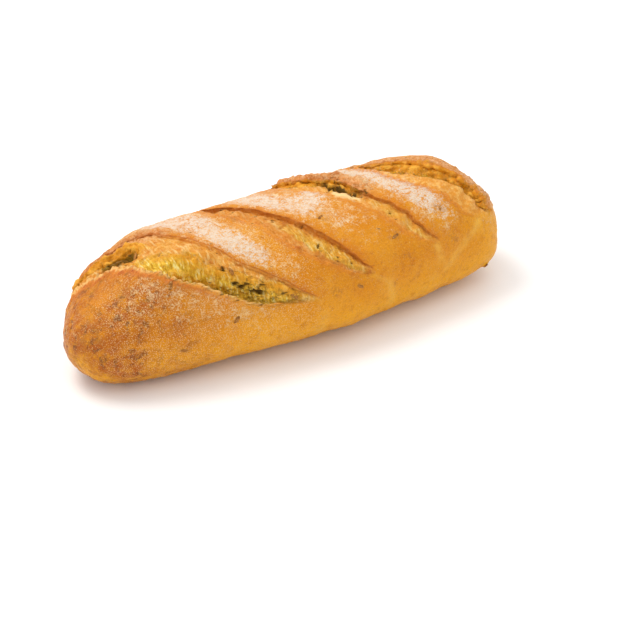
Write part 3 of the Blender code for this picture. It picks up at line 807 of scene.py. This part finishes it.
class Painter:
    """Adds nodes to a material and joins them up."""

    def __init__(self, name):
        self.material = bpy.data.materials.new(name)
        self.material.use_nodes = True
        self.tree = self.material.node_tree
        self.place = self.node("TexCoord", {}).outputs["Object"]

    def put(self, socket, value):
        if isinstance(value, bpy.types.NodeSocket):
            self.tree.links.new(value, socket)
        else:
            socket.default_value = value

    def set(self, name, value):
        """Sets one of the shader's own sockets."""
        self.put(self.tree.nodes["Principled BSDF"].inputs[name], value)

    def node(self, kind, inputs, **settings):
        """A new node with these settings. Its inputs are values or other nodes' outputs."""
        node = self.tree.nodes.new("ShaderNode" + kind)
        for name, value in settings.items():
            setattr(node, name, value)
        for name, value in inputs.items():
            self.put(node.inputs[name], value)
        return node

    def attribute(self, name, output):
        return self.node("Attribute", {}, attribute_name=name).outputs[output]

    def mask(self, name, strength=1.0):
        value = self.attribute(name, "Fac")
        return value if strength == 1.0 else self.times(value, strength)

    def math(self, operation, *values):
        return self.node("Math", dict(enumerate(values)), operation=operation).outputs[0]

    def times(self, first, second):
        return self.math("MULTIPLY", first, second)

    def total(self, *values):
        result = values[0]
        for value in values[1:]:
            result = self.math("ADD", result, value)
        return result

    def noise(self, size_mm, detail=3.0, roughness=0.6, place=None, stretch=None):
        """Noise from 0 to 1 with features of about this size."""
        scale = 1 / (size_mm * MM) if place is None else 1 / size_mm
        place = self.place if place is None else place
        if stretch:
            place = self.node("Mapping", {"Vector": place, "Scale": stretch}).outputs["Vector"]
        inputs = {"Vector": place, "Scale": scale, "Detail": detail, "Roughness": roughness}
        return self.node("TexNoise", inputs).outputs["Fac"]

    def ramp(self, value, start, end):
        """0 at start and 1 at end, smoothly."""
        inputs = {"Value": value, "From Min": start, "From Max": end}
        return self.node("MapRange", inputs, interpolation_type="SMOOTHSTEP").outputs["Result"]

    def mix(self, share, first, second):
        """first where share is 0 and second where it is 1."""
        return self.node("Mix", {0: share, 6: first, 7: second}, data_type="RGBA").outputs[2]

    def patches(self, under, over, share, noise, start, end):
        """One colour over another by a share, in patches where the noise lies above start."""
        return self.mix(self.times(share, self.ramp(noise, start, end)), under, over)

    def dots(self, spacing_mm, radius):
        """Small scattered dots, with radius as a share of their spacing."""
        cells = self.node("TexVoronoi", {"Vector": self.place, "Scale": 1 / (spacing_mm * MM)})
        return self.math("SUBTRACT", 1.0, self.ramp(cells.outputs["Distance"], 0.5 * radius, radius))

    def bump(self, height, depth_mm, under=None):
        inputs = {"Height": height, "Distance": depth_mm * MM}
        if under is not None:
            inputs["Normal"] = under
        return self.node("Bump", inputs).outputs["Normal"]


GOLD, GOLD_LIGHT, GOLD_LIT = tone(216, 132, 0), tone(224, 146, 20), tone(246, 176, 30)
BROWN, BROWN_DARK = tone(176, 90, 18), tone(122, 64, 24)
TOAST, TOAST_DARK, TOAST_PALE = tone(220, 146, 84), tone(178, 94, 40), tone(244, 194, 142)
RIM_BROWN, CREASE_SHADE = tone(204, 114, 30), tone(172, 92, 34)
LIP_BROWN, LIP_DARK, LIP_HIGHLIGHT = tone(240, 152, 62), tone(186, 92, 36), tone(255, 202, 122)
SPLIT_LIP, SPRINKLE = tone(254, 220, 156), tone(240, 204, 148)
SKIN, SKIN_PALE, SKIN_LIGHT = tone(226, 150, 52), tone(244, 190, 100), tone(255, 220, 146)
CRUMB, CRUMB_LIGHT, CRUMB_OLIVE = tone(250, 204, 66), tone(255, 236, 150), tone(214, 160, 34)
CRUMB_BAKED, BAKED_PALE_AND_HIGHLIGHT, CRUMB_SHADE = tone(228, 140, 12), tone(250, 182, 64), tone(214, 166, 36)
CAVITY_SHADE, OLIVE_SHADE = tone(108, 78, 24), tone(140, 106, 28)
FLOUR, FLOUR_WARM, SEAM_PALE = tone(230, 217, 202), tone(230, 192, 144), tone(244, 192, 84)
FLECK, SEED, SEED_DARK, MEAL = tone(172, 112, 44), tone(178, 120, 54), tone(134, 84, 38), tone(240, 204, 140)


# Noises from the finest to the coarsest, and the one that is drawn out into the crumb's strands
Noises = namedtuple("Noises", "fine speck grain patchy cloudy threads")


def crust_colour(p, n):
    """Golden crust, browner at the left end and beside the slashes, with pale stretch marks and painted
    light.
    """
    colour = p.mix(p.ramp(p.noise(24.0, 3.0, 0.5), 0.35, 0.65), GOLD, GOLD_LIGHT)
    # Painted light: paler yellow on the low sides and the right end
    colour = p.mix(p.mask("painted_light", 0.7), colour, GOLD_LIT)
    colour = p.patches(colour, BROWN, 0.4, n.cloudy, 0.48, 0.72)
    colour = p.patches(colour, BROWN, p.mask("brown"), n.cloudy, 0.2, 0.6)
    colour = p.patches(colour, BROWN_DARK, p.mask("brown", 0.9), p.noise(4.2, 4.0, 0.65), 0.53, 0.64)
    colour = p.patches(colour, BROWN, 0.28, n.grain, 0.54, 0.7)
    colour = p.patches(colour, SEAM_PALE, 0.28, n.speck, 0.54, 0.68)
    colour = p.patches(colour, RIM_BROWN, p.mask("glow", 0.75), n.cloudy, 0.3, 0.6)
    return p.mix(p.mask("seam", 0.6), colour, SEAM_PALE)


def band_colour(p, n):
    """The skin between the slashes' edges, with pale strands, and brown where it baked longest."""
    colour = p.mix(p.ramp(p.noise(2.6, 4.0, 0.65), 0.42, 0.66), SKIN, SKIN_PALE)
    colour = p.patches(colour, SKIN_LIGHT, p.mask("relief", 0.8), n.threads, 0.52, 0.66)
    colour = p.patches(colour, RIM_BROWN, p.mask("relief", 0.6), n.cloudy, 0.52, 0.66)
    return p.mix(p.mask("brown"), colour, RIM_BROWN)


def crumb_colour(p, n):
    """Torn crumb: yellow strands, orange baked lumps with painted highlights, painted shade in dents and
    pits.
    """
    colour = p.mix(p.ramp(n.threads, 0.4, 0.52), CRUMB_OLIVE, CRUMB)
    colour = p.mix(p.ramp(n.threads, 0.52, 0.62), colour, CRUMB_LIGHT)
    colour = p.patches(colour, BAKED_PALE_AND_HIGHLIGHT, 0.6, n.cloudy, 0.46, 0.62)
    baked = p.mix(p.ramp(p.noise(2.4), 0.52, 0.7), CRUMB_BAKED, BAKED_PALE_AND_HIGHLIGHT)
    colour = p.mix(p.mask("baked", 0.9), colour, baked)
    # Painted highlight on the tops of the baked lumps
    colour = p.mix(p.ramp(p.mask("lump"), 0.35, 0.8), colour, BAKED_PALE_AND_HIGHLIGHT)
    # Painted shade: dark olive in the valleys between the lumps
    colour = p.patches(colour, OLIVE_SHADE, p.mask("valley", 0.42), n.grain, 0.34, 0.6)
    # Painted shade in the deepest part of the openings
    colour = p.patches(colour, CRUMB_SHADE, p.mask("deep", 0.3), n.cloudy, 0.3, 0.6)
    # Painted shade: dark olive in the pits
    return p.patches(colour, OLIVE_SHADE, p.mask("pitted", 0.7), p.noise(2.2, 3.0, 0.7), 0.5, 0.6)


def toast_colour(p, n):
    """The raised, toasted ears of the slashes."""
    colour = p.mix(p.ramp(n.cloudy, 0.46, 0.68), TOAST, TOAST_DARK)
    colour = p.mix(p.ramp(p.noise(2.2, 4.0, 0.7), 0.47, 0.62), colour, TOAST_PALE)
    return p.patches(colour, TOAST_DARK, 0.6, n.speck, 0.52, 0.66)


def dust(p, n, colour):
    """The colour with flour and fine specks of meal on it, and how thick the flour lies."""
    scatter = p.math("SUBTRACT", p.total(n.grain, n.speck, n.fine, n.cloudy, n.patchy, n.patchy), 3.0)
    dusted = p.ramp(p.total(p.mask("flour", 0.92), p.times(scatter, 1.25)), 0.22, 1.05)
    dusted = p.times(dusted, p.ramp(p.mask("flour"), 0.02, 0.25))
    flour = p.mix(p.ramp(p.total(n.speck, p.mask("flour", 0.12)), 0.42, 0.66), FLOUR_WARM, FLOUR)
    flour = p.mix(p.ramp(p.mask("flour"), 0.35, 0.75), SPRINKLE, flour)
    colour = p.mix(p.times(dusted, 0.9), colour, flour)
    where = p.ramp(p.total(p.mask("speckle", 0.75), n.patchy, n.cloudy), 0.95, 1.75)
    where = p.times(where, p.ramp(p.mask("speckle"), 0.0, 0.3))
    specks = p.math("MAXIMUM", p.dots(1.1, 0.3), p.dots(0.7, 0.36))
    return p.mix(p.times(p.times(specks, where), 0.65), colour, SPRINKLE), dusted


def mark(p, n, colour):
    """Lips with painted highlights on their crests, painted shade in creases and cavities, and nubs and
    flecks.
    """
    colour = p.patches(colour, LIP_DARK, p.mask("under_lip"), n.patchy, 0.26, 0.56)
    lip = p.mix(p.ramp(n.patchy, 0.48, 0.66), LIP_BROWN, LIP_DARK)
    # Painted highlight: paler patches along the crest of the lip
    lip = p.patches(lip, LIP_HIGHLIGHT, p.ramp(p.mask("lip"), 0.6, 0.9), n.grain, 0.32, 0.5)
    colour = p.patches(colour, lip, p.mask("lip"), n.patchy, 0.2, 0.5)
    colour = p.patches(colour, RIM_BROWN, p.mask("rim", 0.9), p.noise(2.4), 0.3, 0.58)
    # Painted shade: a dark line in the crease under each slash's overhanging high edge
    colour = p.mix(p.mask("crease", 0.55), colour, CREASE_SHADE)
    colour = p.patches(colour, BROWN_DARK, 0.16, n.fine, 0.5, 0.64)
    colour = p.mix(p.mask("pale", 0.8), colour, SPLIT_LIP)
    colour = p.mix(p.mask("nub", 0.7), colour, BROWN)
    colour = p.patches(colour, FLECK, p.mask("fleck", 0.65), n.grain, 0.4, 0.55)
    # Painted shade: the cavities and hollows darken towards their middles
    hollow_shade = p.ramp(p.total(p.mask("cavity"), p.times(n.threads, 0.9)), 0.6, 1.35)
    return p.mix(p.times(hollow_shade, p.ramp(p.mask("cavity"), 0.05, 0.3)), colour, CAVITY_SHADE)


def make_crust_material():
    """Golden crust, toasted on the ears and floury on top, with yellow crumb where the slashes tore open."""
    p = Painter("corn_crust")
    strands = p.attribute("strands", "Vector")
    n = Noises(fine=p.noise(0.6, 1.0, 0.5), speck=p.noise(0.9, 2.0), grain=p.noise(1.3, 2.0),
               patchy=p.noise(3.4, 4.0, 0.7), cloudy=p.noise(5.0, 4.0, 0.65),
               threads=p.noise(1.4, 3.0, 0.65, strands, (1.0, 0.16, 0.2)))
    colour = p.mix(p.mask("band", 0.92), crust_colour(p, n), band_colour(p, n))
    colour = p.mix(p.mask("crumb"), colour, crumb_colour(p, n))
    colour = p.mix(p.mask("toasted", 0.9), colour, toast_colour(p, n))
    colour, dusted = dust(p, n, colour)
    p.set("Base Color", mark(p, n, colour))
    p.set("Roughness", p.total(p.times(dusted, 0.25), p.times(n.cloudy, 0.8)))
    p.set("Specular IOR Level", 0.15)
    surface = p.bump(p.noise(2.4, 4.0, 0.65), 0.6)
    surface = p.bump(n.speck, 0.4, surface)
    surface = p.bump(p.times(n.threads, p.mask("crumb")), 1.2, surface)
    p.set("Normal", surface)
    return p.material


def make_seed_material():
    """Grey-brown seed skins, darker in streaks, with a touch of flour."""
    p = Painter("seed_skin")
    colour = p.mix(p.ramp(p.noise(1.6), 0.4, 0.62), SEED, SEED_DARK)
    colour = p.patches(colour, SPRINKLE, 0.5, p.noise(0.7, 2.0, 0.5), 0.6, 0.72)
    p.set("Base Color", colour)
    p.set("Roughness", 0.7)
    p.set("Specular IOR Level", 0.12)
    p.set("Normal", p.bump(p.noise(0.6, 2.0, 0.5), 0.15))
    return p.material


def make_grain_material():
    """Pale meal, some grains more golden than others."""
    p = Painter("meal")
    p.set("Base Color", p.mix(p.ramp(p.noise(3.0, 1.0, 0.5), 0.5, 0.7), MEAL, FLOUR_WARM))
    p.set("Roughness", 0.85)
    p.set("Specular IOR Level", 0.12)
    return p.material


def make_floor():
    """A wide white floor."""
    mesh = bpy.data.meshes.new("floor")
    corners = [(x * FLOOR_HALF, y * FLOOR_HALF, 0) for x, y in ((-1, -1), (1, -1), (1, 1), (-1, 1))]
    mesh.from_pydata(corners, [], [(0, 1, 2, 3)])
    p = Painter("floor_white")
    p.set("Base Color", (FLOOR_GREY, FLOOR_GREY, FLOOR_GREY, 1.0))
    p.set("Roughness", FLOOR_ROUGHNESS)
    mesh.materials.append(p.material)
    add_object("floor", mesh)


def make_lights():
    """White light from all round, and a soft square light that points at the loaf."""
    world = bpy.data.worlds.new("studio")
    world.use_nodes = True
    background = world.node_tree.nodes["Background"]
    background.inputs["Color"].default_value = (1.0, 1.0, 1.0, 1.0)
    background.inputs["Strength"].default_value = WORLD_STRENGTH
    bpy.context.scene.world = world
    light = bpy.data.lights.new("key", "AREA")
    light.size = KEY_SIZE
    light.energy = KEY_POWER
    light.color = KEY_COLOUR
    lamp = add_object("key", light)
    lamp.location = KEY_PLACE
    lamp.rotation_euler = (Vector(KEY_AIM) - Vector(KEY_PLACE)).to_track_quat("-Z", "Y").to_euler()


def make_camera(middle):
    """The camera, at the loaf's left front, and the colours as the photograph has them."""
    azimuth, elevation = math.radians(AZIMUTH), math.radians(ELEVATION)
    level = math.cos(elevation)
    back = Vector((math.sin(azimuth) * level, -math.cos(azimuth) * level, math.sin(elevation)))
    right = Vector((math.cos(azimuth), math.sin(azimuth), 0.0))
    up = back.cross(right)
    aim = Vector((0.0, 0.0, AIM_HEIGHT)) - Vector(middle)
    camera = bpy.data.cameras.new("camera")
    camera.lens = FOCAL_PX / FRAME_PX * SENSOR_MM
    camera.sensor_width = SENSOR_MM
    camera.shift_x = (FRAME_PX / 2 - AIM_PX[0]) / FRAME_PX
    camera.shift_y = (AIM_PX[1] - FRAME_PX / 2) / FRAME_PX
    eye = add_object("camera", camera)
    turn = Matrix((right, up, back)).transposed().to_4x4()
    eye.matrix_world = Matrix.Translation(aim + back * DISTANCE) @ turn
    bpy.context.scene.camera = eye
    bpy.context.scene.view_settings.view_transform = "Standard"


loaf, middle, grid = make_loaf()
loaf.data.materials.append(make_crust_material())
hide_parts("loaf")
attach(loaf, "root")
for extra, material in ((make_seeds(grid), make_seed_material()), (make_grains(grid), make_grain_material())):
    extra.data.materials.append(material)
    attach(extra, "root")
make_floor()
make_lights()
make_camera(middle)
